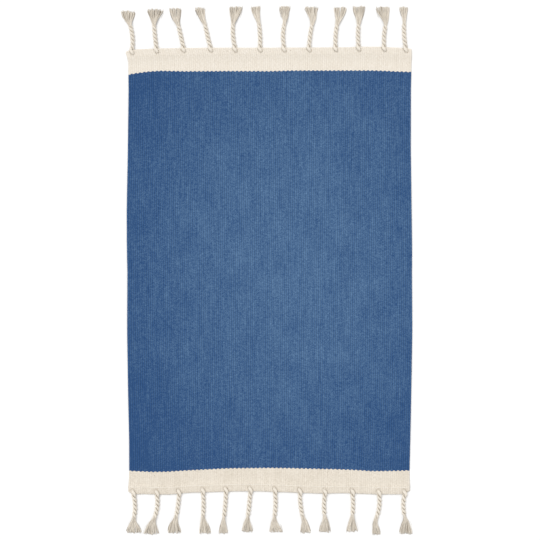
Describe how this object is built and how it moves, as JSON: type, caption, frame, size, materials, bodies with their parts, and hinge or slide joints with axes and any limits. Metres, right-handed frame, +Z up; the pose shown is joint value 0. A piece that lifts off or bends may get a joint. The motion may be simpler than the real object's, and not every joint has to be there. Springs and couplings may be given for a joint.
{
  "type": "handwoven rug",
  "caption": "Flat-woven ribbed cotton rug with a blue field, natural end bands, stitched hems and twisted two-ply tassels along both ends; lies flat on a floor.",
  "frame": {"origin": "the middle of the cloth's underside, on the floor it lies on", "axes": "+Z up from the floor, +Y along the rug's length to its far end, +X across it to the right"},
  "size_m": [0.8191, 1.4855, 0.0133],
  "materials": {
    "woven_cloth": "weft-faced cotton, blue field with natural bands",
    "tassel_yarn": "undyed cotton yarn, two-ply twist"
  },
  "bodies": {
    "root": {"woven_cloth": "woven_cloth", "tassel_far_01": "tassel_yarn", "tassel_far_02": "tassel_yarn", "tassel_far_03": "tassel_yarn", "tassel_far_04": "tassel_yarn", "tassel_far_05": "tassel_yarn", "tassel_far_06": "tassel_yarn", "tassel_far_07": "tassel_yarn", "tassel_far_08": "tassel_yarn", "tassel_far_09": "tassel_yarn", "tassel_far_10": "tassel_yarn", "tassel_far_11": "tassel_yarn", "tassel_far_12": "tassel_yarn", "tassel_near_01": "tassel_yarn", "tassel_near_02": "tassel_yarn", "tassel_near_03": "tassel_yarn", "tassel_near_04": "tassel_yarn", "tassel_near_05": "tassel_yarn", "tassel_near_06": "tassel_yarn", "tassel_near_07": "tassel_yarn", "tassel_near_08": "tassel_yarn", "tassel_near_09": "tassel_yarn", "tassel_near_10": "tassel_yarn", "tassel_near_11": "tassel_yarn", "tassel_near_12": "tassel_yarn"}
  },
  "joints": []
}
